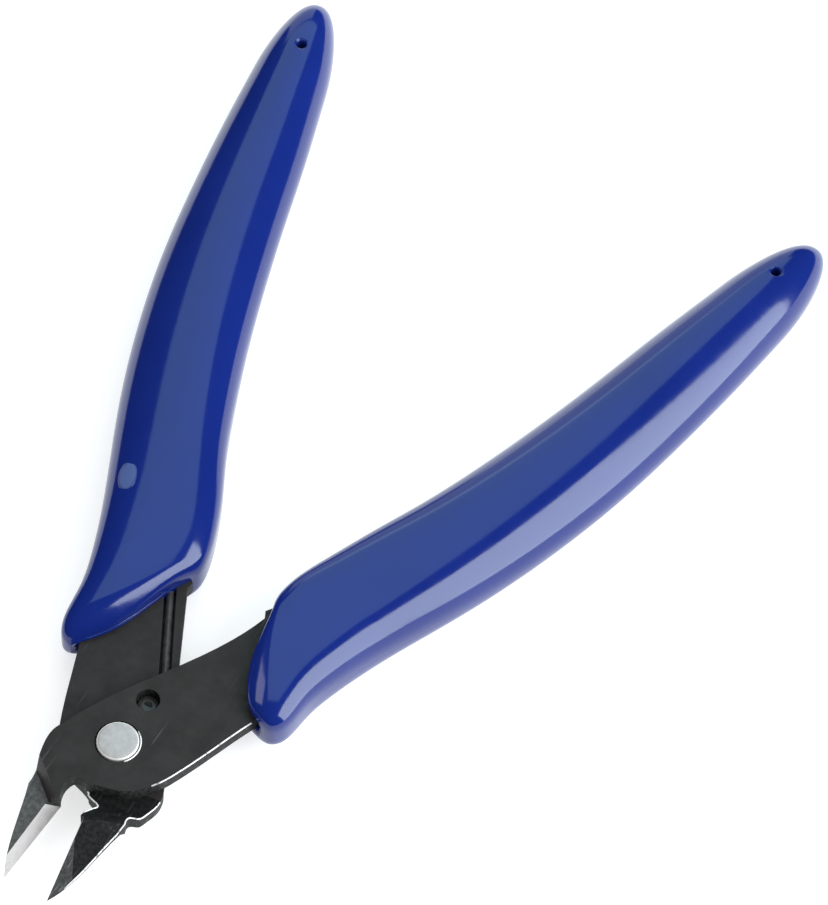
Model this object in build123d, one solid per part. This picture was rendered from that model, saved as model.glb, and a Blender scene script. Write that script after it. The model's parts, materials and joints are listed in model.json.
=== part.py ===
from build123d import *
import math
import os

# Flush cut pliers: two stamped steel blade halves on one rivet, a bent wire that
# springs them open, and a moulded grip on each handle.
#
# Millimetres.  The origin is on the rivet's axis, on the plane where the two
# halves slide on each other.  +Z points out of the side that shows the rivet's
# round head, +Y points towards the handles and +X towards the right handle.
# The pliers are modelled at rest, which is fully open.
#
# Each half is drawn with the pliers closed, where both are nearly mirror images
# about the YZ plane, and is then turned out by half of the opening angle.  The
# front half owns the right handle and the left jaw, the back half the left
# handle and the right jaw.

# ---- driving dimensions ------------------------------------------------------
OPENING = 16.0            # angle between the closed and the open position, degrees
PLATE = 2.0               # thickness of each stamped half
JAW_LEVEL = PLATE / 2     # both jaws lie between -JAW_LEVEL and +JAW_LEVEL
PLAY = 0.02               # each half stays this far from the sliding plane

RIVET_R = 1.9             # shank of the rivet
RIVET_BORE_R = 1.95       # running bore in the front half
RIVET_HEAD_R = 2.4
RIVET_SINK_R = 2.6        # counterbore round the head, in the front half
RIVET_SINK_DEPTH = 0.6
RIVET_PROUD = 0.3         # height of each head above its plate

WIRE_R = 0.5              # return spring
WIRE_BEND_R = 1.1
WIRE_LEVEL = -0.65        # height of the wire's centre in its groove
WIRE_BUTTON_R = 1.27      # flattened round end that sits in the front half's hole
WIRE_BUTTON = (0.35, 0.75)
GROOVE_WIDTH = 1.4
GROOVE_DEPTH = 1.2
SPRING_HOLE_R = 1.375     # round hole in the front half that holds the wire's button
SPRING_HOLE = (-0.83, 6.17)

GRIP_THICKNESS = 10.0     # between the two flat sides of a grip
GRIP_CROWN = 5.5          # half height of the ellipse that rounds a grip's sides
GRIP_BOTTOM = (8.9, 9.3)  # lower end of the moulding before the mouth is cut
GRIP_TIP = (21.6, 109.8)
GRIP_NOSE = 3.6           # how far the end of a grip is rounded where the steel comes out
GRIP_NOSE_LINE = [(1.6, 23.4), (7.9, 12.1)]
RIGHT_HANG_HOLE = (20.65, 101.55)
LEFT_HANG_HOLE = (20.2, 100.6)
HANG_HOLE_R = 0.65

BIG = 80.0                # side of the blocks that cut away half spaces

# ---- outlines, drawn closed, with the handle at +X -----------------------------
# Lower edge of a half, from the throat between the jaws round to the grip.
LOWER_EDGE = [
    (0.7, -6.2), (2.4, -5.3), (4.4, -4.35), (6.1, -2.4), (6.95, -0.8), (7.45, 0.7),
    (8.75, 6.1), (9.95, 11.4),
]
# Inner edge of the front half, from the spur at its grip down to the shoulder.
FRONT_INNER_EDGE = [(2.5, 22.9), (1.0, 16.85), (-2.45, 8.5), (-6.2, -2.15)]
FRONT_SHOULDER = [(-6.53, -3.8), (-6.25, -5.2)]
FRONT_SPUR = (1.95, 23.7)
FRONT_THROAT = [(-1.08, -8.1), (-1.08, -7.0), (-0.55, -6.15)]
FRONT_JAW_BACK = [(-4.75, -9.6), (-2.9, -13.5), (-1.2, -17.0)]
FRONT_EDGE_ROOT = (-0.53, -9.05)
FRONT_EDGE_TIP = (0.42, -19.5)
# The back half, mirrored, so that its handle is at +X too.
BACK_INNER_EDGE = [(1.45, 22.4), (-0.15, 17.7), (-3.3, 8.4), (-6.6, -2.15)]
BACK_SHOULDER = [(-7.0, -3.6), (-6.9, -4.6), (-6.15, -6.3), (-5.65, -7.0), (-5.15, -7.15)]
BACK_SPUR = (1.15, 23.3)
BACK_THROAT = [(-0.2, -8.7), (-0.7, -8.0), (-1.0, -7.5), (-0.4, -7.0)]
BACK_JAW_BACK = [(-4.7, -8.4), (-3.1, -13.4), (-1.4, -18.0)]
BACK_EDGE_ROOT = (0.15, -9.5)
BACK_EDGE_TIP = (-0.45, -19.5)
# Tang inside the grip, outer edge going up and inner edge coming down.
TANG_OUTER = [(11.4, 18.0), (15.6, 36.0), (19.4, 55.0), (21.6, 72.0), (21.9, 88.0)]
TANG_INNER = [(17.9, 88.0), (13.6, 64.0), (8.4, 43.0), (4.2, 28.0), (2.7, 25.2)]

# ---- facets of the jaws: three points of each plane ------------------------------
FOLD_START = -6.5         # where the raised jaw starts to leave the plate
FOLD_END = -9.0           # where it has reached its level
FRONT_STEP = [(-3.95, -7.65, PLATE), (-0.65, -9.45, PLATE), (-1.6, -9.55, 0.9)]
FRONT_FACET = [(-1.4, -9.9, 0.3), (-1.2, -16.9, 0.15), (-4.5, -9.5, 0.4)]
BACK_STEP = [(-4.1, -8.4, JAW_LEVEL), (-0.85, -9.7, JAW_LEVEL), (-2.9, -9.75, 0.2)]
BACK_FACET = [(-0.1, -11.4, 0.75), (-2.0, -16.3, -0.45), (-3.8, -10.9, -0.2)]
BACK_NOSE = [(-0.1, -11.4, 0.75), (-2.0, -16.3, -0.45), (-0.45, -19.5, -0.9)]
FRONT_BEVEL_SLOPE = 46.0  # degrees from the flat side of the jaw
BACK_BEVEL_SLOPE = 77.0
BEVEL_RUNOUT = 0.95       # the bevel's upper edge starts this much nearer the tip than its root
BEVEL_CLEAR = 0.8         # how far the bevel's cut overshoots the cutting edge
FLAT_STEP_SLOPE = 1.2     # how far the step on the flat side leans, rise over run

# ---- grip sections: height along Y, inner and outer side ---------------------------
GRIP_SECTIONS = [
    (11.0, 5.2, 12.5), (14.0, 3.7, 12.9), (19.0, 2.2, 13.1), (26.0, 1.6, 14.3),
    (40.0, 5.0, 18.5), (55.0, 8.5, 22.2), (70.0, 11.3, 24.3), (85.0, 13.6, 25.2),
    (98.0, 15.7, 25.4), (105.0, 17.2, 25.0), (108.2, 18.9, 24.2),
]
# Mouth of a grip, where the steel comes out, and the lobe at its outer corner.
GRIP_MOUTH = [(0.6, 25.2), (2.2, 23.4), (3.45, 20.15), (5.1, 17.0), (6.8, 14.2)]
RIGHT_LOBE = [(8.8, 12.4), (11.0, 11.7), (12.9, 13.0)]
LEFT_LOBE = [(8.5, 12.1), (10.6, 10.7), (12.7, 11.6)]

# ---- spring route, drawn with the back half closed and mirrored ----------------------
WIRE_START = (4.95, 26.1)
WIRE_BEND = (-1.25, 9.9)


def above(points):
    """A block that fills the half space above the plane through three points."""
    a, b, c = (Vector(*p) for p in points)
    normal = (b - a).cross(c - a)
    if normal.Z < 0:
        normal = normal * -1
    return Plane(origin=a, z_dir=normal) * Pos(0, 0, BIG / 2) * Box(BIG, BIG, BIG)


def slab(points, low, high):
    """A closed outline pulled up from one height to another."""
    outline = make_face(Polyline(*points, close=True))
    return Pos(0, 0, low) * extrude(outline, high - low)


def side_block(profile):
    """A (y, z) profile pulled across the whole width, along X."""
    outline = Plane.YZ * make_face(Polyline(*profile, close=True))
    return Pos(-BIG / 2, 0, 0) * extrude(outline, BIG)


def half_outline(inner_edge, shoulder, jaw_back, edge_root, edge_tip, spur, throat_points):
    """Plan of one half: jaw, throat, lower edge, tang, spur and inner edge."""
    root = Vector(*edge_root)
    tip = Vector(*edge_tip)
    lower = Spline(*LOWER_EDGE)
    throat = Spline(root, *throat_points, LOWER_EDGE[0])
    cutting_edge = Line(tip, root)
    tang_outer = Spline(LOWER_EDGE[-1], *TANG_OUTER)
    tang_end = ThreePointArc(TANG_OUTER[-1], (19.9, 90.0), TANG_INNER[0])
    tang_inner = Spline(*TANG_INNER)
    spur_edges = Polyline(TANG_INNER[-1], spur, inner_edge[0])
    inner = Spline(*inner_edge)
    back = Spline(inner_edge[-1], *shoulder, jaw_back[0])
    nose = Spline(*jaw_back, tip)
    return make_face([cutting_edge, throat, lower, tang_outer, tang_end, tang_inner,
                      spur_edges, inner, back, nose])


def bevel_block(root, tip, slope, runout):
    """What grinding the cutting bevel takes away, from the bevel's root to beyond the tip."""
    root = Vector(*root, -JAW_LEVEL)
    tip = Vector(*tip, -JAW_LEVEL)
    along = (tip - root).normalized()
    outward = Vector(along.Y, -along.X, 0)
    rise = math.tan(math.radians(slope))
    reach = 3 * PLATE
    section = Plane(origin=root - along * reach, x_dir=outward, z_dir=along * -1)
    corners = [(-BEVEL_CLEAR, 0), (0, 0), (reach / rise, reach), (-BEVEL_CLEAR, reach)]
    wedge = extrude(section * make_face(Polyline(*corners, close=True)), BIG / 2, dir=along)
    root_end = Plane(origin=root, x_dir=outward + along * runout, z_dir=along - outward * runout)
    return wedge & (root_end * Pos(0, 0, BIG / 2) * Box(BIG, BIG, BIG))


def flat_side_step():
    """Underside material that the step up to the jaw's flat side takes away."""
    drop = PLATE - JAW_LEVEL
    return side_block([
        (FOLD_END + 0.8, -PLATE - 1), (FOLD_END + 0.8, -PLATE),
        (FOLD_END + 0.8 - drop / FLAT_STEP_SLOPE, -JAW_LEVEL),
        (-BIG / 2, -JAW_LEVEL), (-BIG / 2, -PLATE - 1),
    ])


def front_half():
    """Front plate with the left jaw and the right handle, drawn closed."""
    outline = half_outline(FRONT_INNER_EDGE, FRONT_SHOULDER, FRONT_JAW_BACK,
                           FRONT_EDGE_ROOT, FRONT_EDGE_TIP, FRONT_SPUR, FRONT_THROAT)
    plate = Pos(0, 0, -JAW_LEVEL) * extrude(outline, PLATE + JAW_LEVEL)
    underside = side_block([
        (BIG * 2, PLAY), (FOLD_START, PLAY), (FOLD_END, -JAW_LEVEL),
        (-BIG / 2, -JAW_LEVEL), (-BIG / 2, -PLATE), (BIG * 2, -PLATE),
    ])
    half = plate - underside
    half -= above(FRONT_STEP) & above(FRONT_FACET)
    half -= bevel_block(FRONT_EDGE_ROOT, FRONT_EDGE_TIP, FRONT_BEVEL_SLOPE, BEVEL_RUNOUT)
    half -= Cylinder(RIVET_BORE_R, 4 * PLATE)
    sink_floor = PLATE - RIVET_SINK_DEPTH
    half -= Pos(0, 0, sink_floor + PLATE) * Cylinder(RIVET_SINK_R, 2 * PLATE)
    half -= Pos(*SPRING_HOLE, 0) * Cylinder(SPRING_HOLE_R, 4 * PLATE)
    return half


def wire_end():
    """Where the wire's end stands in the front half's hole, in the back half's drawing."""
    hole = Vector(*SPRING_HOLE).rotate(Axis.Z, -OPENING)
    return (-hole.X, hole.Y)


def wire_swing():
    """Pocket in the back half that leaves the wire's lower end free to swing."""
    end = wire_end()
    far = (-SPRING_HOLE[0], SPRING_HOLE[1])
    half = GROOVE_WIDTH / 2
    corners = [
        (WIRE_BEND[0] - half, WIRE_BEND[1]), (end[0] - half, end[1] - half),
        (far[0] + half, far[1] - half), (far[0] + half, far[1]),
        (WIRE_BEND[0] + 1.2 * half, WIRE_BEND[1] + 1.0),
    ]
    return slab(corners, -GROOVE_DEPTH, PLATE)


def wire_groove():
    """Straight groove for the wire, from inside the grip to the swing pocket."""
    start = Vector(*WIRE_START)
    bend = Vector(*WIRE_BEND)
    along = (start - bend).normalized()
    across = Vector(-along.Y, along.X) * (GROOVE_WIDTH / 2)
    corners = [start + across, bend + across, bend - across, start - across]
    return slab([(c.X, c.Y) for c in corners], -GROOVE_DEPTH, PLATE)


def back_half():
    """Back plate with the right jaw and the left handle, drawn closed and mirrored."""
    outline = half_outline(BACK_INNER_EDGE, BACK_SHOULDER, BACK_JAW_BACK,
                           BACK_EDGE_ROOT, BACK_EDGE_TIP, BACK_SPUR, BACK_THROAT)
    plate = Pos(0, 0, -PLATE) * extrude(outline, PLATE + JAW_LEVEL)
    upper_side = side_block([
        (BIG * 2, -PLAY), (FOLD_START, -PLAY), (FOLD_END, JAW_LEVEL),
        (-BIG / 2, JAW_LEVEL), (-BIG / 2, 2 * PLATE), (BIG * 2, 2 * PLATE),
    ])
    half = plate - upper_side - flat_side_step()
    half -= above(BACK_STEP) & above(BACK_FACET)
    half -= above(BACK_NOSE) & side_block([(-11.0, -PLATE), (-11.0, PLATE),
                                           (-BIG / 2, PLATE), (-BIG / 2, -PLATE)])
    half -= bevel_block(BACK_EDGE_ROOT, BACK_EDGE_TIP, BACK_BEVEL_SLOPE, 0)
    half -= Cylinder(RIVET_R, 4 * PLATE)
    half -= wire_groove() + wire_swing()
    return half


def rivet():
    """Shank with a round head proud of each plate."""
    head_low = PLATE - RIVET_SINK_DEPTH + PLAY
    head_high = PLATE + RIVET_PROUD
    shank = Pos(0, 0, (head_low - PLATE) / 2) * Cylinder(RIVET_R, head_low + PLATE)
    front_head = Pos(0, 0, (head_low + head_high) / 2) * Cylinder(RIVET_HEAD_R, head_high - head_low)
    front_head = chamfer(front_head.edges().group_by(Axis.Z)[-1], 0.12)
    back_head = Pos(0, 0, -PLATE - RIVET_PROUD / 2) * Cylinder(RIVET_HEAD_R, RIVET_PROUD)
    back_head = chamfer(back_head.edges().group_by(Axis.Z)[0], 0.12)
    return shank + front_head + back_head


def spring():
    """Wire lying in the back half's groove, with its end turned up and flattened to a button."""
    end = wire_end()
    low, high = WIRE_BUTTON
    path = FilletPolyline(
        (*WIRE_START, WIRE_LEVEL), (*WIRE_BEND, WIRE_LEVEL), (*end, WIRE_LEVEL), (*end, high),
        radius=WIRE_BEND_R)
    section = Plane(origin=path @ 0, z_dir=path % 0) * Circle(WIRE_R)
    button = Pos(*end, (low + high) / 2) * Cylinder(WIRE_BUTTON_R, high - low)
    return sweep(section, path) + button


def grip(lobe, hang_hole):
    """Moulded handle cover, drawn closed and without the room for the tang."""
    sections = []
    for height, inner, outer in GRIP_SECTIONS:
        plane = Plane(origin=((inner + outer) / 2, height, 0), x_dir=(1, 0, 0), z_dir=(0, 1, 0))
        sections.append(plane * Ellipse((outer - inner) / 2, GRIP_CROWN * taper(height)))
    body = loft([Vertex(*GRIP_BOTTOM, 0), *sections, Vertex(*GRIP_TIP, 0)])
    body &= Pos(0, 60, 0) * Box(BIG, 2 * BIG, GRIP_THICKNESS)
    mouth = Spline(*GRIP_MOUTH, *lobe)
    outside = Polyline(lobe[-1], (14.0, 6.0), (-4.0, 6.0), (-4.0, 25.2), GRIP_MOUTH[0])
    body -= Pos(0, 0, -GRIP_THICKNESS) * extrude(make_face([mouth, outside]), 2 * GRIP_THICKNESS)
    body &= grip_nose()
    return body - Pos(*hang_hole, 0) * Cylinder(HANG_HOLE_R, 2 * GRIP_THICKNESS)


def grip_nose():
    """A long block with a rounded front that rounds the end of the grip over the steel."""
    start = Vector(*GRIP_NOSE_LINE[0])
    along = (Vector(*GRIP_NOSE_LINE[1]) - start).normalized()
    inward = Vector(-along.Y, along.X)
    half = GRIP_THICKNESS / 2
    section = Plane(origin=start, x_dir=inward, z_dir=along)
    block = Pos(BIG, 0) * Rectangle(2 * BIG, 2 * half)
    block = fillet(block.vertices().group_by(Axis.X)[0], GRIP_NOSE)
    return extrude(section * block, 2 * BIG, both=True)


def taper(height):
    """Share of the crown's height, which falls off at both ends of a grip."""
    if height < 19:
        return 0.86 + 0.14 * (height - 9) / 10
    if height > 98:
        return 0.94 - 0.3 * ((height - 98) / 12) ** 2
    return 1 - 0.06 * max(0, height - 60) / 38


def open_front(shape):
    return Rot(0, 0, -OPENING / 2) * shape


def open_back(shape):
    return Rot(0, 0, OPENING / 2) * mirror(shape, Plane.YZ)


def build():
    front = front_half()
    back = back_half()
    wire = spring()
    return {
        "front_blade_half": open_front(front),
        "back_blade_half": open_back(back),
        "pivot_rivet": rivet(),
        "return_spring": open_back(wire),
        "right_grip": open_front(grip(RIGHT_LOBE, RIGHT_HANG_HOLE) - front),
        "left_grip": open_back(grip(LEFT_LOBE, LEFT_HANG_HOLE) - back - wire_groove()),
    }


def main():
    os.makedirs("parts", exist_ok=True)
    for name, shape in build().items():
        shape.label = name
        export_step(shape, "parts/" + name + ".step")
        size = shape.bounding_box().size
        print(f"{name}: {len(shape.solids())} solid, {shape.volume:.1f} mm3,",
              f"{size.X:.1f} x {size.Y:.1f} x {size.Z:.1f}")


main()
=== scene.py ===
import json
import math

import bmesh
import bpy
import numpy as np
from mathutils import Matrix, Vector
from mathutils.bvhtree import BVHTree


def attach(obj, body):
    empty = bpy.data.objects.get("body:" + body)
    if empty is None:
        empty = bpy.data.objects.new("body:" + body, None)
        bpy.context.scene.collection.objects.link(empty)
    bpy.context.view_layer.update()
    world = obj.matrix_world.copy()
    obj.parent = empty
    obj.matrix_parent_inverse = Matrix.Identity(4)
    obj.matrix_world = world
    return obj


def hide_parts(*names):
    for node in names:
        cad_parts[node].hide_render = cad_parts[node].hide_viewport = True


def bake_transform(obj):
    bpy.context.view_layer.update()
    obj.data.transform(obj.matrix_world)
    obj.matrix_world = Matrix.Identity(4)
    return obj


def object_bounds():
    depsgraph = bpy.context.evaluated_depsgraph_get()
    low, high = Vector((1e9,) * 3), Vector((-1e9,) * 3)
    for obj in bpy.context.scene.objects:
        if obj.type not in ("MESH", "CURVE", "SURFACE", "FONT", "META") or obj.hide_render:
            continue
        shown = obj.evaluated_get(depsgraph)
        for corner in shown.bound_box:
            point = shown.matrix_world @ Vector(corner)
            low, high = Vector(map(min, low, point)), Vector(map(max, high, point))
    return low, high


# Flush cut pliers lying on a pale table.  Metres and the row frame throughout: the
# rivet's axis is +Z, the handles point to +Y and the right handle is on +X.
# Shapes are drawn in millimetres with the pliers closed, as if each half had its
# handle at +X, and are then placed on their half by `place`.

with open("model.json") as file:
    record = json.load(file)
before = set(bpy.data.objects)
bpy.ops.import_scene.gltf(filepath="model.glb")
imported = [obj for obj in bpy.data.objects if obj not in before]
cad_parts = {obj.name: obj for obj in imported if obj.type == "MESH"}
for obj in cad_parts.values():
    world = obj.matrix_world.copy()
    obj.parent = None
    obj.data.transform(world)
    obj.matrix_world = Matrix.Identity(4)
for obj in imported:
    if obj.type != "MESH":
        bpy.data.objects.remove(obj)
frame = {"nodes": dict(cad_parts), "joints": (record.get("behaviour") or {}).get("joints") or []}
cad_low, cad_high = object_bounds()

MM = 0.001
OPENING = math.radians(frame["joints"][0]["range_deg"][1])   # between closed and open

# ---- camera --------------------------------------------------------------------
CAMERA_TARGET = Vector((8.43, 52.63, 0.0)) * MM
CAMERA_DISTANCE = 361.86 * MM
CAMERA_HEADING = math.radians(22.79)    # turned from +Y towards -X
CAMERA_TILT = math.radians(33.366)      # from looking straight down
CAMERA_ROLL = math.radians(8.20)
CAMERA_LENS = 119.337
CAMERA_SENSOR = 36.0
FLOOR_HALF = 4.0             # metres from the middle of the floor to its sides


def add_camera():
    data = bpy.data.cameras.new("camera")
    data.lens = CAMERA_LENS
    data.sensor_width = CAMERA_SENSOR
    data.clip_start = 0.01
    data.clip_end = 20.0
    camera = bpy.data.objects.new("camera", data)
    turn = Matrix.Rotation(CAMERA_HEADING, 3, "Z") @ Matrix.Rotation(CAMERA_TILT, 3, "X")
    turn = turn @ Matrix.Rotation(CAMERA_ROLL, 3, "Z")
    camera.rotation_mode = "QUATERNION"
    camera.rotation_quaternion = turn.to_quaternion()
    camera.location = CAMERA_TARGET + turn @ Vector((0, 0, CAMERA_DISTANCE))
    bpy.context.scene.collection.objects.link(camera)
    bpy.context.scene.camera = camera


# ---- light and floor -------------------------------------------------------------
def area_light(name, at, width, height, radiance, colour=(1, 1, 1), aim=(8, 53, 0)):
    """A rectangular soft box at one point that faces another, both in millimetres."""
    data = bpy.data.lights.new(name, "AREA")
    data.shape = "RECTANGLE"
    data.size = width * MM
    data.size_y = height * MM
    data.color = colour
    data.energy = radiance * math.pi * data.size * data.size_y
    lamp = bpy.data.objects.new(name, data)
    lamp.location = Vector(at) * MM
    lamp.rotation_mode = "QUATERNION"
    lamp.rotation_quaternion = (Vector(at) - Vector(aim)).to_track_quat("Z", "Y")
    lamp.visible_camera = False
    bpy.context.scene.collection.objects.link(lamp)
    return lamp


def add_lights():
    world = bpy.data.worlds.new("studio")
    world.use_nodes = True
    background = world.node_tree.nodes["Background"]
    background.inputs["Color"].default_value = (1.0, 1.0, 1.0, 1)
    background.inputs["Strength"].default_value = 0.80
    world.cycles_visibility.glossy = False
    bpy.context.scene.world = world
    area_light("ceiling_panel", (-40, 147, 193), 168, 300, 1.05, (0.62, 0.95, 1.0), (28, 13, 46))
    area_light("back_wall", (-694, 1022, 240), 720, 600, 0.9, (0.8, 0.95, 1.0))
    area_light("right_soft_box", (772, 205, 460), 640, 1000, 6.2, (0.88, 0.97, 1.0))
    card = area_light("left_card", (-72, 7, 92), 58, 56, 2.2, aim=(11, 13, 3))
    card.light_linking.receiver_collection = bpy.data.collections.new("lit_by_left_card")
    bpy.context.scene.view_settings.view_transform = "Standard"


def add_floor():
    half, low = FLOOR_HALF, cad_low.z
    mesh = bpy.data.meshes.new("floor")
    corners = [(-half, -half, low), (half, -half, low), (half, half, low), (-half, half, low)]
    mesh.from_pydata(corners, [], [(0, 1, 2, 3)])
    floor = bpy.data.objects.new("floor", mesh)
    bpy.context.scene.collection.objects.link(floor)
    material, tree, shader = new_material("floor_paper")
    shader.inputs["Base Color"].default_value = (0.62, 0.62, 0.62, 1)
    shader.inputs["Roughness"].default_value = 0.9
    shader.inputs["Specular IOR Level"].default_value = 0.0
    shader.inputs["Emission Color"].default_value = (1.0, 1.0, 1.0, 1)
    shader.inputs["Emission Strength"].default_value = 0.55
    floor.data.materials.append(material)


# ---- geometry helpers --------------------------------------------------------------
def smooth_curve(points):
    """A natural cubic spline through (t, value) points, as a function of t."""
    t, v = (np.array(c, float) for c in zip(*points))
    h = np.diff(t)
    slope = np.diff(v) / h
    system = np.eye(len(t))
    right = np.zeros(len(t))
    for i in range(1, len(t) - 1):
        system[i, i - 1:i + 2] = h[i - 1], 2 * (h[i - 1] + h[i]), h[i]
        right[i] = 6 * (slope[i] - slope[i - 1])
    bend = np.linalg.solve(system, right)

    def value(x):
        i = int(np.clip(np.searchsorted(t, x) - 1, 0, len(h) - 1))
        a, b = (t[i + 1] - x) / h[i], (x - t[i]) / h[i]
        curve = (a ** 3 - a) * bend[i] + (b ** 3 - b) * bend[i + 1]
        return a * v[i] + b * v[i + 1] + curve * h[i] ** 2 / 6

    return value


def place(side):
    """Matrix from the drawing, in millimetres with the handle at +X, to the open pliers."""
    turn = Matrix.Rotation(-OPENING / 2 if side == "right" else OPENING / 2, 4, "Z")
    flip = 1 if side == "right" else -1
    return turn @ Matrix.Diagonal((flip * MM, MM, MM, 1))


def new_object(name, mesh, body):
    piece = bpy.data.objects.new(name, mesh)
    bpy.context.scene.collection.objects.link(piece)
    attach(piece, body)
    return piece


def mesh_from(bm, name, smooth=True):
    bmesh.ops.recalc_face_normals(bm, faces=bm.faces)
    mesh = bpy.data.meshes.new(name)
    bm.to_mesh(mesh)
    bm.free()
    mesh.polygons.foreach_set("use_smooth", [smooth] * len(mesh.polygons))
    return mesh


def skin_rings(bm, rings, close_ends=True):
    """Quads between equal closed rings of points, with a fan at each end."""
    loops = [[bm.verts.new(p) for p in ring] for ring in rings]
    for low, high in zip(loops, loops[1:]):
        for i in range(len(low)):
            j = (i + 1) % len(low)
            bm.faces.new((low[i], low[j], high[j], high[i]))
    if close_ends:
        for ring in (loops[0], loops[-1]):
            centre = bm.verts.new(sum((v.co for v in ring), Vector()) / len(ring))
            for i in range(len(ring)):
                bm.faces.new((ring[i], ring[(i + 1) % len(ring)], centre))
    return loops


# ---- grips --------------------------------------------------------------------------
GRIP_HALF = 5.0              # half the thickness of a grip
# How far each ring of a grip is from the mouth, and where its inner end is: first round
# the corner at the mouth, then up the handle.
GRIP_CORNER = {
    "right": [(0, (2.75, 24.15)), (1, (2.3, 24.9)), (2.2, (2.05, 25.9)), (4, (1.95, 27.3)),
              (7, (2.1, 29.7)), (12, (2.95, 34.0))],
    "left": [(0, (1.6, 23.6)), (1, (1.1, 24.3)), (2.2, (0.85, 25.3)), (4, (0.85, 26.8)),
             (7, (1.2, 29.3)), (12, (2.4, 34.0))],
}
GRIP_INNER = [(18, (4.3, 39.5)), (26, (6.35, 46.6)), (36, (8.7, 56.5)), (46, (10.6, 66.5)),
              (56, (12.15, 76.2)), (66, (13.5, 85.6)), (78, (15.4, 97.0)), (92, (17.6, 111.0))]
# The same rings' outer ends: round the lobe at the mouth, then up the handle.
GRIP_LOBE = {
    "right": [(0, (10.9, 11.6)), (1, (12.0, 11.75)), (2.2, (12.85, 12.7)), (4, (13.2, 14.4)),
              (7, (13.1, 17.2)), (12, (13.5, 21.6))],
    "left": [(0, (10.5, 9.95)), (1, (11.6, 10.3)), (2.2, (12.3, 11.3)), (4, (12.6, 13.1)),
             (7, (12.6, 16.3)), (12, (13.3, 21.4))],
}
GRIP_OUTER = [(18, (14.95, 28.0)), (26, (18.0, 37.8)), (36, (21.2, 49.6)), (46, (23.5, 62.2)),
              (56, (24.65, 73.8)), (66, (25.25, 84.8)), (78, (25.5, 97.0)), (92, (25.6, 111.0))]
# How far the mouth's edge bulges towards the steel from a straight line, along its length.
GRIP_BOW = {
    "right": [(0, 0), (0.07, 0.2), (0.22, 0.95), (0.35, 1.5), (0.48, 1.9), (0.63, 2.05),
              (0.8, 1.85), (0.92, 1.1), (1, 0)],
    "left": [(0, -0.1), (0.13, -0.1), (0.27, 0.2), (0.45, 0.7), (0.58, 0.95), (0.7, 0.95),
             (0.83, 0.65), (0.93, 0.25), (1, -0.1)],
}
# Half thickness and squareness of the section along a grip; 2 would be an ellipse.
GRIP_HEIGHT = [(0, 3.65), (6, 4.2), (14, 4.65), (24, 4.94), (36, GRIP_HALF), (60, GRIP_HALF),
               (92, GRIP_HALF)]
GRIP_SQUARENESS = [(0, 4.6), (4, 4.2), (10, 3.4), (22, 2.6), (45, 2.12), (92, 2.08)]
BOW_REACH = 16.0             # the bulge has faded this far from the mouth
LEVEL_REACH = 18.0           # and here the section is level with the rivet, not with its tang
SPREAD = {"right": (0.0, 0.28), "left": (0.25, 0.0)}   # extra width at the inner and outer side
GRIP_END = 92.0              # the last station, past the end of the grip
GRIP_STEPS = 190
GRIP_TIP_START = 97.0        # where the rounding of the end starts, along the drawing's Y
GRIP_TIP_END = 110.9
TIP_ROUNDNESS = 2.15         # 2 would be an elliptic end
TIP_THINNING = 0.42          # share of the thickness lost before the end's last rounding
GRIP_NOSE = 2.0              # depth of the rounding at the mouth
GRIP_LIP = 1.7               # half height of the mouth, about the middle of the steel
# The lip turns in onto the steel: share of its height lost, and shift towards its middle.
MOUTH_ROLL = [(0.20, 0.06), (0.34, 0.25), (0.42, 0.60)]
HANG_HOLE = {"right": (20.65, 101.55), "left": (20.2, 100.6)}
HANG_HOLE_R = 0.62
HANG_HOLE_LIP = 0.22
HANG_HOLE_TOP = GRIP_HALF * 0.955    # level of the grip's face at the hole
PALE_OVAL = (13.1, 31.15)    # middle of the slightly raised, paler oval on the left grip
PALE_OVAL_HALF_WIDTH = 1.17
PALE_OVAL_HALF_LENGTH = 2.1
PALE_OVAL_LEAN = math.radians(24)     # of its long axis, from +Y towards -X
STEEL_MIDDLE = {"right": 1.0, "left": -1.0}    # level of the middle of each half's plate


def track(stations):
    """The point on a smooth curve through (run, (x, y)) stations, as a function of run."""
    x = smooth_curve([(run, point[0]) for run, point in stations])
    y = smooth_curve([(run, point[1]) for run, point in stations])
    return lambda run: Vector((x(run), y(run), 0))


def grip_ring(a, b, bow, bow_share, low, high, squareness, count=128):
    """One closed ring round the grip, from its inner end a to its outer end b."""
    across = (b - a).normalized()
    towards_steel = Vector((across.y, -across.x, 0))
    if towards_steel.y > 0:
        towards_steel = -towards_steel
    ring = []
    for k in range(count):
        angle = 2 * math.pi * k / count
        c, s = math.cos(angle), math.sin(angle)
        share = (1 - math.copysign(abs(c) ** (2 / squareness), c)) / 2
        up = math.copysign(abs(s) ** (2 / squareness), s)
        point = a.lerp(b, share) + towards_steel * bow(share) * bow_share
        point.z = (high + low) / 2 + (high - low) / 2 * up
        ring.append(point)
    return ring


def tip_shares(tip):
    """Shares of the width and the height that the rounded end keeps; tip goes from 0 to 1."""
    width = max(1e-3, 1 - tip ** TIP_ROUNDNESS) ** (1 / TIP_ROUNDNESS)
    height = (1 - TIP_THINNING * tip ** 2.6) * max(0.05, 1 - tip ** 8) ** 0.5
    return width, height


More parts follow.
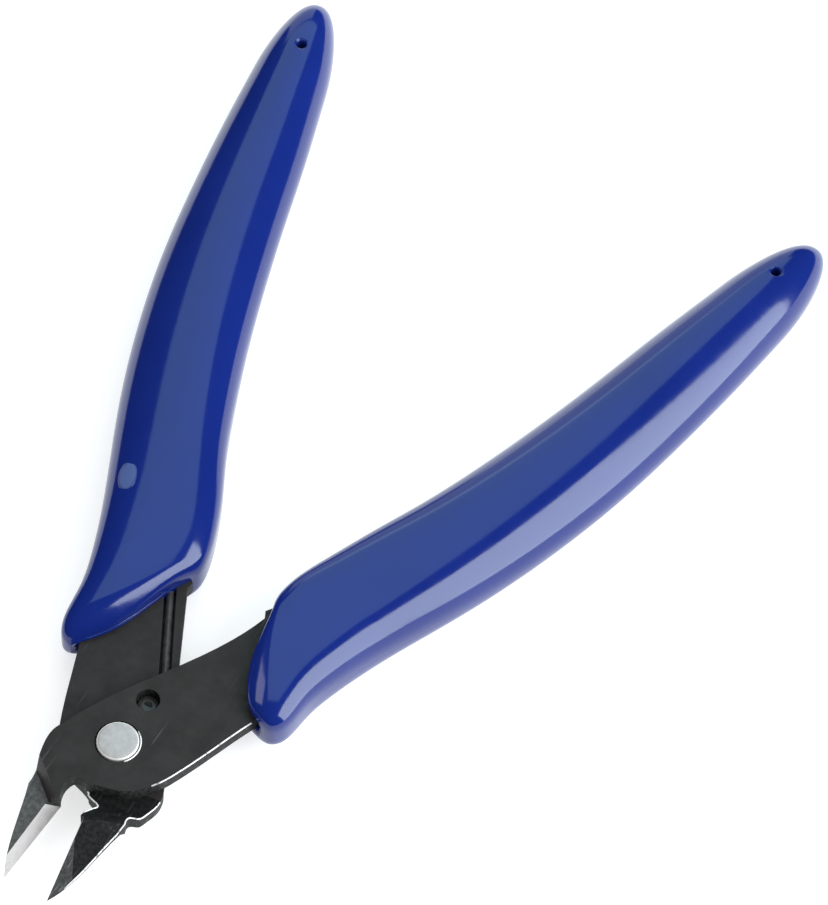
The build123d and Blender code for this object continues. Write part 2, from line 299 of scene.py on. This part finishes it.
def grip_rings(side):
    """The rings of a grip from its mouth to its end, closer together near both."""
    inner = track(GRIP_CORNER[side] + GRIP_INNER)
    outer = track(GRIP_LOBE[side] + GRIP_OUTER)
    bow = smooth_curve(GRIP_BOW[side])
    thickness = smooth_curve(GRIP_HEIGHT)
    squareness = smooth_curve(GRIP_SQUARENESS)
    middle = STEEL_MIDDLE[side]
    first = (inner(0) + outer(0)) / 2
    line = (outer(0) - inner(0)).normalized()
    inward = Vector((-line.y, line.x, 0))
    rings = []
    for k in range(GRIP_STEPS + 1):
        run = GRIP_END * ((1 - math.cos(math.pi * k / GRIP_STEPS)) / 2) ** 1.2
        a, b = inner(run), outer(run)
        a.x -= SPREAD[side][0]
        b.x += SPREAD[side][1]
        centre = (a + b) / 2
        tip = min(1.0, max(0.0, (centre.y - GRIP_TIP_START) / (GRIP_TIP_END - GRIP_TIP_START)))
        width, height = tip_shares(tip)
        a, b = centre.lerp(a, width), centre.lerp(b, width)
        height *= thickness(run)
        depth = max(0.0, (centre - first).dot(inward))
        rise = math.sqrt(1 - max(0.0, 1 - depth / GRIP_NOSE) ** 2)
        level = middle * max(0.0, 1 - run / LEVEL_REACH) ** 1.5
        high = middle + GRIP_LIP + (level + height - middle - GRIP_LIP) * rise
        low = middle - GRIP_LIP - (height - level + middle - GRIP_LIP) * rise
        bulge = max(0.0, 1 - run / BOW_REACH) ** 1.5
        rings.append(grip_ring(a, b, bow, bulge, low, high, squareness(run)))
        if tip >= 1:
            break
    return rings


def grip_skin(side):
    """The rings of a grip, with a rolled lip that turns in onto the steel."""
    rings = grip_rings(side)
    middle = STEEL_MIDDLE[side]
    centre = sum(rings[0], Vector()) / len(rings[0])
    edge = rings[0]
    for shrink, shift in MOUTH_ROLL:
        rolled = []
        for point in edge:
            level = middle + (point.z - middle) * (1 - shrink)
            inner = Vector((point.x, point.y, level))
            rolled.append(inner + (centre - inner).normalized() * shift)
        rings.insert(0, rolled)
    bm = bmesh.new()
    skin_rings(bm, rings)
    return bm


def hang_hole_cutter(side):
    """A round pin with a flared lip at each face of the grip."""
    profile = [(HANG_HOLE_R + HANG_HOLE_LIP * 2, GRIP_HALF + 1.0)]
    for k in range(7):
        angle = math.pi / 2 * k / 6
        profile.append((HANG_HOLE_R + HANG_HOLE_LIP * (1 - math.sin(angle)),
                        HANG_HOLE_TOP + 0.02 - HANG_HOLE_LIP * (1 - math.cos(angle))))
    profile += [(r, -z) for r, z in reversed(profile)]
    return lathe("hang_hole_cutter", profile, 48, Vector((*HANG_HOLE[side], 0)))


def lathe(name, profile, count, centre=Vector()):
    """A closed turned body from (radius, height) points, in drawing millimetres."""
    bm = bmesh.new()
    rings = []
    for r, z in profile:
        ring = []
        for k in range(count):
            angle = 2 * math.pi * k / count
            ring.append(centre + Vector((r * math.cos(angle), r * math.sin(angle), z)))
        rings.append(ring)
    skin_rings(bm, rings)
    return mesh_from(bm, name)


def grip(side, body):
    """The moulded grip of one side, with its hanging hole."""
    mesh = mesh_from(grip_skin(side), side + "_grip_skin")
    cutter_mesh = hang_hole_cutter(side)
    for m in (mesh, cutter_mesh):
        m.transform(place(side))
        if side == "left":
            m.flip_normals()
    piece = new_object(side + "_grip_skin", mesh, body)
    cutter = bpy.data.objects.new("hang_hole_cutter", cutter_mesh)
    bpy.context.scene.collection.objects.link(cutter)
    cut(piece, cutter)
    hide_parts(side + "_grip")
    piece.data.materials.clear()
    piece.data.materials.append(grip_plastic())
    return piece


def pale_oval(skin):
    """The slightly raised, paler oval on the left grip."""
    profile = [(1.0, -0.6), (1.0, -0.06), (0.9, -0.01), (0.6, 0.03), (0.3, 0.045), (0.01, 0.05)]
    mesh = lathe("left_grip_gate_mark", profile, 40)
    mesh.transform(Matrix.Diagonal((PALE_OVAL_HALF_WIDTH * MM, PALE_OVAL_HALF_LENGTH * MM, MM, 1)))
    spot = place("left") @ Vector((*PALE_OVAL, 0))
    tree = BVHTree.FromPolygons([v.co for v in skin.data.vertices],
                                [tuple(f.vertices) for f in skin.data.polygons])
    hit, normal = tree.ray_cast(spot + Vector((0, 0, 1)), Vector((0, 0, -1)))[:2]
    tilt = Vector((0, 0, 1)).rotation_difference(normal).to_matrix().to_4x4()
    piece = new_object("left_grip_gate_mark", mesh, "back_half")
    piece.matrix_world = Matrix.Translation(hit) @ tilt @ Matrix.Rotation(PALE_OVAL_LEAN, 4, "Z")
    piece.data.materials.append(pale_oval_plastic())


def cut(piece, cutter):
    """Takes the cutter away from the piece and deletes the cutter."""
    step = piece.modifiers.new("cut", "BOOLEAN")
    step.operation = "DIFFERENCE"
    step.solver = "EXACT"
    step.object = cutter
    apply_modifiers(piece)
    bpy.data.objects.remove(cutter)


def apply_modifiers(piece):
    """Replaces the piece's mesh with what its modifiers make of it."""
    depsgraph = bpy.context.evaluated_depsgraph_get()
    made = bpy.data.meshes.new_from_object(piece.evaluated_get(depsgraph))
    piece.modifiers.clear()
    piece.data = made


# ---- steel halves, rivet and spring -------------------------------------------------
SIDES = {"front": "right", "back": "left"}    # the side of each half's handle
# Where the facets of the jaws are: the ground bevel's normal, and three points of the others.
BEVEL_NORMAL = {"front": (0.717, 0.065, 0.695), "back": (0.973, -0.056, 0.225)}
STEP_POINTS = {"front": [(-3.95, -7.65, 2.0), (-0.65, -9.45, 2.0), (-1.6, -9.55, 0.9)],
               "back": [(-4.1, -8.4, 1.0), (-0.85, -9.7, 1.0), (-2.9, -9.75, 0.2)]}
NOSE_POINTS = [(-0.1, -11.4, 0.75), (-2.0, -16.3, -0.45), (-0.45, -19.5, -0.9)]
EDGE_BREAK = 0.06            # largest chamfer of a sharp edge; short edges make it less
WORN_HIGHLIGHT_RADIUS = 0.085            # radius of the bright line along some upper edges: worn steel with a painted highlight
VALLEY_SHADE_START = -3.9          # the back plate is painted darker from here to the jaw: painted shade where the front plate shades it
WELD = 0.002                 # vertices closer than this are one
FLAT_ANGLE = math.radians(0.6)
SHARP_ANGLE = math.radians(25)
CURVED_WALL_ANGLE = math.radians(24)    # an edge between side walls is smooth below this
FACET_ANGLE = math.radians(3)           # any other edge is smooth below this
UPRIGHT = 0.35               # largest normal z of a side wall


def worn_highlight_stretch(half, point):
    """Whether the upper edge of a steel half gets the bright line of wear and painted highlight at
    this place.
    """
    if half == "front":
        return point.x > 0.9 and -1.5 < point.y < 14
    outer = point.x < -0.8 and -17.5 < point.y < -4.0
    throat = -1.3 < point.x < 1.5 and -8.9 < point.y < -5.8
    return outer or throat


def sharp(edge):
    """Whether an edge of a steel half is sharp enough to be broken."""
    return len(edge.link_faces) == 2 and edge.calc_face_angle(0) > SHARP_ANGLE


def is_worn_highlight_edge(half, edge):
    """Whether an edge is one of the upper edges that are worn and carry a painted highlight."""
    if not sharp(edge):
        return False
    low, high = sorted((face.normal.z for face in edge.link_faces), key=abs)
    middle = (edge.verts[0].co + edge.verts[1].co) / 2
    return abs(low) < 0.25 and high > 0.6 and worn_highlight_stretch(half, middle)


def joined(edges):
    """Paths of points made of the edges joined end to end."""
    paths = []
    left = [list(edge.verts) for edge in edges]
    while left:
        path = left.pop(0)
        grown = True
        while grown:
            grown = False
            for pair in left:
                if path[-1] in pair:
                    path.append(pair[1 - pair.index(path[-1])])
                elif path[0] in pair:
                    path.insert(0, pair[1 - pair.index(path[0])])
                else:
                    continue
                left.remove(pair)
                grown = True
                break
        paths.append([vert.co.copy() for vert in path])
    return paths


def worn_highlight_edges(half, body, paths):
    """The bright line along some upper edges of a steel half: worn steel with a painted highlight."""
    bm = bmesh.new()
    for path in paths:
        skin_rings(bm, tube_rings(path, WORN_HIGHLIGHT_RADIUS, 12))
    mesh = mesh_from(bm, half + "_worn_highlight_edges")
    mesh.transform(place(SIDES[half]))
    if SIDES[half] == "left":
        mesh.flip_normals()
    piece = new_object(half + "_worn_highlight_edges", mesh, body)
    piece.data.materials.append(worn_highlight_chamfer())


def plane_normal(points):
    """Upward normal of the plane through three points."""
    a, b, c = (Vector(p) for p in points)
    normal = (b - a).cross(c - a).normalized()
    return normal if normal.z > 0 else -normal


def face_finish_or_shade(half, face, middle):
    """The function that makes a face's finish or its painted shade, from its direction and its place.
    """
    normal = face.normal
    if middle.y < -8.6 and normal.dot(Vector(BEVEL_NORMAL[half]).normalized()) > 0.985:
        return ground_steel
    if abs(normal.z) < UPRIGHT:
        return side_wall
    if middle.y < -7.0 and normal.dot(plane_normal(STEP_POINTS[half])) > 0.97:
        return step_steel if half == "back" else black_oxide
    if half == "back" and middle.y < -11 and normal.dot(plane_normal(NOSE_POINTS)) > 0.992:
        return nose_facet
    if middle.y < -9.4 and normal.z > 0.75:
        return jaw_facet if half == "back" else cheek_facet
    # The back plate from the front plate's edge to the jaw gets painted shade.
    if half == "back" and middle.y < VALLEY_SHADE_START and normal.z > 0.5:
        return valley_painted_shade
    return black_oxide


def steel_half(half, body):
    """A steel half made from its CAD node: broken edges, a bright edge line of wear and painted
    highlight, finishes and painted shade.
    """
    side = SIDES[half]
    node = half + "_blade_half"
    bm = bmesh.new()
    bm.from_mesh(frame["nodes"][node].data)
    bmesh.ops.transform(bm, matrix=place(side).inverted(), verts=bm.verts)
    if side == "left":
        bmesh.ops.reverse_faces(bm, faces=bm.faces)
    bmesh.ops.remove_doubles(bm, verts=bm.verts, dist=WELD)
    bmesh.ops.dissolve_limit(bm, angle_limit=FLAT_ANGLE, verts=bm.verts, edges=bm.edges)
    # Split the back plate where its painted shade starts.
    if half == "back":
        bmesh.ops.bisect_plane(bm, geom=bm.verts[:] + bm.edges[:] + bm.faces[:],
                               plane_co=(0, VALLEY_SHADE_START, 0), plane_no=(0, 1, 0))
    bm.normal_update()
    weights = bm.edges.layers.float.new("bevel_weight_edge")
    for edge in bm.edges:
        edge[weights] = float(sharp(edge))
    worn_highlight_edges(half, body, joined([edge for edge in bm.edges if is_worn_highlight_edge(half, edge)]))
    mesh = bpy.data.meshes.new(node + "_steel")
    bm.to_mesh(mesh)
    bm.free()
    piece = bpy.data.objects.new(node + "_steel", mesh)
    bpy.context.scene.collection.objects.link(piece)
    step = piece.modifiers.new("edges", "BEVEL")
    step.limit_method = "WEIGHT"
    step.width = EDGE_BREAK
    step.segments = 2
    apply_modifiers(piece)
    finish_and_shade_steel(piece.data, half)
    piece.data.transform(place(side))
    if side == "left":
        piece.data.flip_normals()
    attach(piece, body)
    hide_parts(node)


def finish_and_shade_steel(mesh, half):
    """Gives every face of a steel half its finish or painted shade, and keeps its sharp edges sharp.
    """
    finishes_and_shades = [black_oxide, ground_steel, jaw_facet, nose_facet, valley_painted_shade, cheek_facet,
                side_wall, step_steel]
    mesh.materials.clear()
    for make in finishes_and_shades:
        mesh.materials.append(make())
    bm = bmesh.new()
    bm.from_mesh(mesh)
    bm.normal_update()
    for face in bm.faces:
        finish = face_finish_or_shade(half, face, face.calc_center_median())
        face.material_index = finishes_and_shades.index(finish)
        face.smooth = True
    for edge in bm.edges:
        walls = all(abs(face.normal.z) < UPRIGHT for face in edge.link_faces)
        edge.smooth = edge.calc_face_angle(0) < (CURVED_WALL_ANGLE if walls else FACET_ANGLE)
    bm.to_mesh(mesh)
    bm.free()


def rivet():
    """Bright turned rivet with a faintly domed head that has a broken rim, painted much lighter as a
    highlight.
    """
    top = [(0.01, 2.335), (0.8, 2.33), (1.5, 2.315), (2.05, 2.29), (2.25, 2.26), (2.36, 2.19),
           (2.4, 2.08), (2.4, 1.42), (1.9, 1.42)]
    bottom = [(1.9, -2.0), (2.4, -2.0), (2.4, -2.16), (2.3, -2.28), (2.1, -2.31), (0.01, -2.32)]
    mesh = lathe("pivot_rivet_turned", top + bottom, 96)
    mesh.transform(Matrix.Scale(MM, 4))
    mesh.set_sharp_from_angle(angle=math.radians(40))
    piece = new_object("pivot_rivet_turned", mesh, "back_half")
    piece.data.materials.append(turned_steel_or_highlight("turned_face", 0.42, 0.52))
    # The rim's chamfer faces get a near-white copy of the turned steel: a painted highlight.
    piece.data.materials.append(turned_steel_or_highlight("rim_painted_highlight", 0.80, 0.95))
    for face in mesh.polygons:
        face.material_index = int(0.25 < abs(face.normal.z) < 0.93)
    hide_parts("pivot_rivet")


WIRE_R = 0.5
WIRE_LEVEL = -0.65           # level of the wire's middle in the groove
WIRE_START = (4.95, 26.1)    # inside the left grip
WIRE_BEND = (-1.25, 9.9)
WIRE_CORNER_R = 1.1
SPRING_HOLE = (-0.83, 6.17)  # in the front half's drawing
BUTTON_R = 1.27
BUTTON = (0.35, 0.75)        # levels of the button's underside and top


def rounded_path(corners, radius, count=10):
    """The corners joined by straight runs, with each inner corner rounded."""
    path = [corners[0]]
    for before, corner, after in zip(corners, corners[1:], corners[2:]):
        back = (before - corner).normalized()
        on = (after - corner).normalized()
        half_angle = back.angle(on) / 2
        reach = radius / math.tan(half_angle)
        centre = corner + (back + on).normalized() * (radius / math.sin(half_angle))
        first = corner + back * reach - centre
        last = corner + on * reach - centre
        for k in range(count + 1):
            path.append(centre + first.slerp(last, k / count))
    path.append(corners[-1])
    return path


def tube_rings(path, radius, count=28):
    """Rings round a path, carried along it without twist."""
    rings = []
    side = (path[1] - path[0]).orthogonal().normalized()
    for i, centre in enumerate(path):
        ahead = path[min(i + 1, len(path) - 1)] - path[max(i - 1, 0)]
        ahead.normalize()
        side = (side - ahead * side.dot(ahead)).normalized()
        other = ahead.cross(side)
        ring = []
        for k in range(count):
            angle = 2 * math.pi * k / count
            ring.append(centre + (side * math.cos(angle) + other * math.sin(angle)) * radius)
        rings.append(ring)
    return rings


def spring():
    """The return spring, a bent wire running between the two halves, with a button in the front half.
    """
    turned = Matrix.Rotation(-OPENING, 3, "Z") @ Vector((*SPRING_HOLE, 0))
    end = Vector((-turned.x, turned.y, 0))
    level = Vector((0, 0, WIRE_LEVEL))
    start, bend = (Vector((*p, 0)) + level for p in (WIRE_START, WIRE_BEND))
    straight = [start.lerp(bend, k / 24) for k in range(24)]
    corners = [straight[-1], bend, end + level, end + Vector((0, 0, BUTTON[1]))]
    bm = bmesh.new()
    skin_rings(bm, tube_rings(straight[:-1] + rounded_path(corners, WIRE_CORNER_R), WIRE_R))
    low, high = BUTTON
    profile = [(0.01, low), (BUTTON_R - 0.1, low), (BUTTON_R, low + 0.1), (BUTTON_R, high - 0.12),
               (BUTTON_R - 0.12, high), (0.55, high - 0.03), (0.01, high - 0.05)]
    rings = [[end + Vector((r * math.cos(math.pi * k / 24), r * math.sin(math.pi * k / 24), z))
              for k in range(48)] for r, z in profile]
    skin_rings(bm, rings)
    mesh = mesh_from(bm, "return_spring_wire")
    mesh.set_sharp_from_angle(angle=math.radians(50))
    mesh.transform(place("left"))
    mesh.flip_normals()
    piece = bpy.data.objects.new("return_spring_wire", mesh)
    bpy.context.scene.collection.objects.link(piece)
    piece.data.materials.append(spring_wire())
    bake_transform(piece)
    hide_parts("return_spring")


# ---- materials ------------------------------------------------------------------------
def new_material(name):
    material = bpy.data.materials.new(name)
    material.use_nodes = True
    return material, material.node_tree, material.node_tree.nodes["Principled BSDF"]


def object_noise(tree, scale, detail=3.0, roughness=0.5, stretch=(1, 1, 1)):
    """Noise over the piece's own coordinates; scale counts features per millimetre."""
    place_node = tree.nodes.new("ShaderNodeTexCoord")
    mapping = tree.nodes.new("ShaderNodeMapping")
    mapping.inputs["Scale"].default_value = [s * scale / MM for s in stretch]
    noise = tree.nodes.new("ShaderNodeTexNoise")
    noise.inputs["Scale"].default_value = 1.0
    noise.inputs["Detail"].default_value = detail
    noise.inputs["Roughness"].default_value = roughness
    tree.links.new(place_node.outputs["Object"], mapping.inputs["Vector"])
    tree.links.new(mapping.outputs["Vector"], noise.inputs["Vector"])
    return noise.outputs["Fac"]


def ramp(tree, source, stops):
    """Colour ramp node with (position, colour) stops."""
    node = tree.nodes.new("ShaderNodeValToRGB")
    elements = node.color_ramp.elements
    while len(elements) < len(stops):
        elements.new(0.5)
    for element, (position, colour) in zip(elements, stops):
        element.position = position
        element.color = (*colour, 1)
    tree.links.new(source, node.inputs["Fac"])
    return node.outputs["Color"]


def spread(tree, source, low, high):
    """Maps the middle of a noise's range, 0.3 to 0.7, to the range from low to high."""
    node = tree.nodes.new("ShaderNodeMapRange")
    node.inputs["From Min"].default_value = 0.3
    node.inputs["From Max"].default_value = 0.7
    node.inputs["To Min"].default_value = low
    node.inputs["To Max"].default_value = high
    tree.links.new(source, node.inputs["Value"])
    return node.outputs["Result"]


def bump(tree, shader, layers):
    """Stacked bump from (height source, depth in millimetres) layers."""
    normal = None
    for source, depth in layers:
        node = tree.nodes.new("ShaderNodeBump")
        node.inputs["Strength"].default_value = 1.0
        node.inputs["Distance"].default_value = depth * MM
        tree.links.new(source, node.inputs["Height"])
        if normal is not None:
            tree.links.new(normal, node.inputs["Normal"])
        normal = node.outputs["Normal"]
    tree.links.new(normal, shader.inputs["Normal"])


def mixed(tree, source, low, high, start, end):
    """Colour that goes from low to high as the source goes from start to end."""
    return ramp(tree, source, [(start, low), (end, high)])


def grip_plastic():
    """Glossy blue plastic with a faint uneven skin."""
    if "moulded_blue" in bpy.data.materials:
        return bpy.data.materials["moulded_blue"]
    material, tree, shader = new_material("moulded_blue")
    tone = object_noise(tree, 0.12, 2.0)
    blue = mixed(tree, tone, (0.0048, 0.0148, 0.136), (0.0056, 0.0166, 0.150), 0.3, 0.7)
    tree.links.new(blue, shader.inputs["Base Color"])
    film = object_noise(tree, 0.5, 4.0)
    tree.links.new(spread(tree, film, 0.10, 0.14), shader.inputs["Roughness"])
    shader.inputs["IOR"].default_value = 1.54
    peel = object_noise(tree, 0.7, 2.0)
    grain = object_noise(tree, 6.0, 2.0)
    bump(tree, shader, [(peel, 0.004), (grain, 0.0006)])
    return material


def pale_oval_plastic():
    """The grip's plastic, paler and duller towards the middle of the oval."""
    material, tree, shader = new_material("pale_oval_plastic")
    coordinates = tree.nodes.new("ShaderNodeTexCoord")
    mapping = tree.nodes.new("ShaderNodeMapping")
    mapping.inputs["Scale"].default_value = (1 / PALE_OVAL_HALF_WIDTH / MM, 1 / PALE_OVAL_HALF_LENGTH / MM, 0)
    fade = tree.nodes.new("ShaderNodeTexGradient")
    fade.gradient_type = "SPHERICAL"
    tree.links.new(coordinates.outputs["Object"], mapping.inputs["Vector"])
    tree.links.new(mapping.outputs["Vector"], fade.inputs["Vector"])
    tone = mixed(tree, fade.outputs["Fac"], (0.0052, 0.0157, 0.143), (0.055, 0.092, 0.255), 0.04, 0.22)
    tree.links.new(tone, shader.inputs["Base Color"])
    shader.inputs["Roughness"].default_value = 0.35
    shader.inputs["IOR"].default_value = 1.54
    return material


def scratches(tree, angle, density, sharp=0.70):
    """Fine straight scratches in one direction, as a 0 to 1 mask."""
    coordinates = tree.nodes.new("ShaderNodeTexCoord")
    mapping = tree.nodes.new("ShaderNodeMapping")
    mapping.inputs["Rotation"].default_value = (0, 0, angle)
    mapping.inputs["Scale"].default_value = (density / MM, density * 0.045 / MM, density / MM)
    noise = tree.nodes.new("ShaderNodeTexNoise")
    noise.inputs["Scale"].default_value = 1.0
    noise.inputs["Detail"].default_value = 4.0
    tree.links.new(coordinates.outputs["Object"], mapping.inputs["Vector"])
    tree.links.new(mapping.outputs["Vector"], noise.inputs["Vector"])
    node = tree.nodes.new("ShaderNodeMapRange")
    node.inputs["From Min"].default_value = sharp - 0.08
    node.inputs["From Max"].default_value = sharp
    tree.links.new(noise.outputs["Fac"], node.inputs["Value"])
    return node.outputs["Result"]


def blend_colour(tree, share, low, high):
    """Mix of a colour source and a plain colour by a 0 to 1 source."""
    node = tree.nodes.new("ShaderNodeMix")
    node.data_type = "RGBA"
    tree.links.new(share, node.inputs[0])
    tree.links.new(low, node.inputs[6])
    node.inputs[7].default_value = (*high, 1)
    return node.outputs[2]


def black_oxide():
    """Blackened steel with a few scratches; slightly warm against the bluish light."""
    if "black_oxide" in bpy.data.materials:
        return bpy.data.materials["black_oxide"]
    material, tree, shader = new_material("black_oxide")
    cloud = object_noise(tree, 0.35, 5.0, 0.6)
    tone = mixed(tree, cloud, (0.0195, 0.0155, 0.0150), (0.0285, 0.0240, 0.0235), 0.35, 0.68)
    marks = scratches(tree, 0.9, 2.4, 0.74)
    tree.links.new(blend_colour(tree, marks, tone, (0.065, 0.065, 0.065)), shader.inputs["Base Color"])
    patch = object_noise(tree, 0.9, 4.0)
    tree.links.new(spread(tree, patch, 0.36, 0.50), shader.inputs["Roughness"])
    shader.inputs["IOR"].default_value = 1.35
    grain = object_noise(tree, 9.0, 3.0)
    bump(tree, shader, [(cloud, 0.004), (grain, 0.0015)])
    return material


def ground_steel():
    """Bright steel with fine grinding lines, for the bevels of the jaws."""
    if "ground_steel" in bpy.data.materials:
        return bpy.data.materials["ground_steel"]
    material, tree, shader = new_material("ground_steel")
    lay = scratches(tree, 1.2, 14.0, 0.60)
    cloud = object_noise(tree, 0.8, 3.0)
    tone = mixed(tree, cloud, (0.245, 0.222, 0.218), (0.290, 0.265, 0.260), 0.35, 0.65)
    tree.links.new(blend_colour(tree, lay, tone, (0.225, 0.203, 0.200)), shader.inputs["Base Color"])
    shader.inputs["Metallic"].default_value = 0.35
    tree.links.new(spread(tree, cloud, 0.30, 0.42), shader.inputs["Roughness"])
    bump(tree, shader, [(lay, 0.0003)])
    return material


def worn_highlight_chamfer():
    """Edge worn down to bright steel and painted near white as a highlight, duller in places."""
    if "worn_highlight_chamfer" in bpy.data.materials:
        return bpy.data.materials["worn_highlight_chamfer"]
    material, tree, shader = new_material("worn_highlight_chamfer")
    wear = object_noise(tree, 1.6, 4.0, 0.6)
    tone = mixed(tree, wear, (0.30, 0.30, 0.30), (0.92, 0.90, 0.90), 0.34, 0.44)
    tree.links.new(tone, shader.inputs["Base Color"])
    shader.inputs["Metallic"].default_value = 0.3
    tree.links.new(spread(tree, wear, 0.5, 0.38), shader.inputs["Roughness"])
    bump(tree, shader, [(wear, 0.004)])
    return material


def facet_steel_or_shade(name, dark, light, specular):
    """Dark mottled steel with a few grinding marks, for the facets of the jaws; its darkest copy is
    painted shade on the back plate.
    """
    if name in bpy.data.materials:
        return bpy.data.materials[name]
    material, tree, shader = new_material(name)
    mottle = object_noise(tree, 2.2, 5.0, 0.7)
    tone = mixed(tree, mottle, (dark,) * 3, (light,) * 3, 0.38, 0.64)
    marks = scratches(tree, -0.6, 3.4, 0.68)
    tree.links.new(blend_colour(tree, marks, tone, (light * 2,) * 3), shader.inputs["Base Color"])
    tree.links.new(spread(tree, mottle, 0.46, 0.62), shader.inputs["Roughness"])
    shader.inputs["Specular IOR Level"].default_value = specular
    bump(tree, shader, [(mottle, 0.010)])
    return material


def jaw_facet():
    return facet_steel_or_shade("jaw_facet", 0.005, 0.018, 0.10)


def nose_facet():
    return facet_steel_or_shade("nose_facet", 0.026, 0.060, 0.30)


# Painted shade: a much darker copy of the plate steel, where the front plate shades the back plate.
def valley_painted_shade():
    return facet_steel_or_shade("valley_painted_shade", 0.006, 0.013, 0.09)


def step_steel():
    return facet_steel_or_shade("step_steel", 0.012, 0.026, 0.16)


def side_wall():
    return facet_steel_or_shade("side_wall", 0.008, 0.034, 0.12)


def cheek_facet():
    return facet_steel_or_shade("cheek_facet", 0.045, 0.085, 0.35)


def turned_steel_or_highlight(name, dark, light):
    """Bright turned steel, or a lighter copy of it as painted highlight; the red is raised against the
    bluish light.
    """
    material, tree, shader = new_material(name)
    cloud = object_noise(tree, 1.4, 5.0, 0.65)
    low, high = ((grey * 1.03, grey * 0.97, grey * 0.96) for grey in (dark, light))
    tone = mixed(tree, cloud, low, high, 0.35, 0.65)
    tree.links.new(tone, shader.inputs["Base Color"])
    shader.inputs["Metallic"].default_value = 0.4
    tree.links.new(spread(tree, cloud, 0.38, 0.52), shader.inputs["Roughness"])
    grain = object_noise(tree, 7.0, 3.0)
    bump(tree, shader, [(cloud, 0.006), (grain, 0.002)])
    return material


def spring_wire():
    """Dark drawn wire."""
    material, tree, shader = new_material("drawn_wire")
    cloud = object_noise(tree, 1.2, 4.0, 0.6)
    tone = mixed(tree, cloud, (0.022, 0.018, 0.017), (0.048, 0.044, 0.042), 0.35, 0.65)
    tree.links.new(tone, shader.inputs["Base Color"])
    tree.links.new(spread(tree, cloud, 0.30, 0.42), shader.inputs["Roughness"])
    shader.inputs["IOR"].default_value = 1.7
    grain = object_noise(tree, 6.0, 3.0)
    bump(tree, shader, [(grain, 0.002)])
    return material


add_camera()
add_lights()
add_floor()
right_skin = grip("right", "front_half")
bpy.data.collections["lit_by_left_card"].objects.link(right_skin)
pale_oval(grip("left", "back_half"))
steel_half("front", "front_half")
steel_half("back", "back_half")
rivet()
spring()
